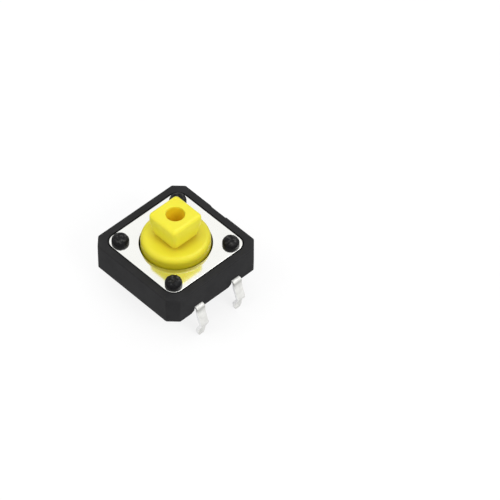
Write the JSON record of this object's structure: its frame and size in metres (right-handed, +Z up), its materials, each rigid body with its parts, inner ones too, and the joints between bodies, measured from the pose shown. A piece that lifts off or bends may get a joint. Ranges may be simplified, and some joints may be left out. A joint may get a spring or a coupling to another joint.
{
  "type": "tactile push button switch",
  "caption": "Square through-hole tactile switch with a staked metal cover, a round plunger disc carrying a tall square keycap post, and kinked snap-in legs.",
  "frame": {"origin": "centre of the leg pattern, on the face of the circuit board that the standoff pads sit on", "axes": "+Z up out of the board along the press, X across the two rows of legs, Y along a side's two legs"},
  "size_m": [0.0138, 0.012, 0.0107],
  "materials": {
    "housing": "satin moulded black",
    "cover": "bright rolled stainless",
    "plunger": "semi-gloss moulded yellow",
    "dome": "bright spring steel",
    "leads": "tin plated, satin"
  },
  "bodies": {
    "base": {"housing": "housing", "cover_plate": "cover", "contact_dome": "dome", "outer_contact": "leads", "centre_contact": "leads"},
    "button": {"plunger": "plunger"}
  },
  "joints": [
    {"name": "press", "type": "slide", "parent": "base", "child": "button", "axis": [0, 0, -1], "range_m": [0, 0.0003], "stiffness_N_per_m": 5300, "deforming": ["contact_dome"]}
  ]
}
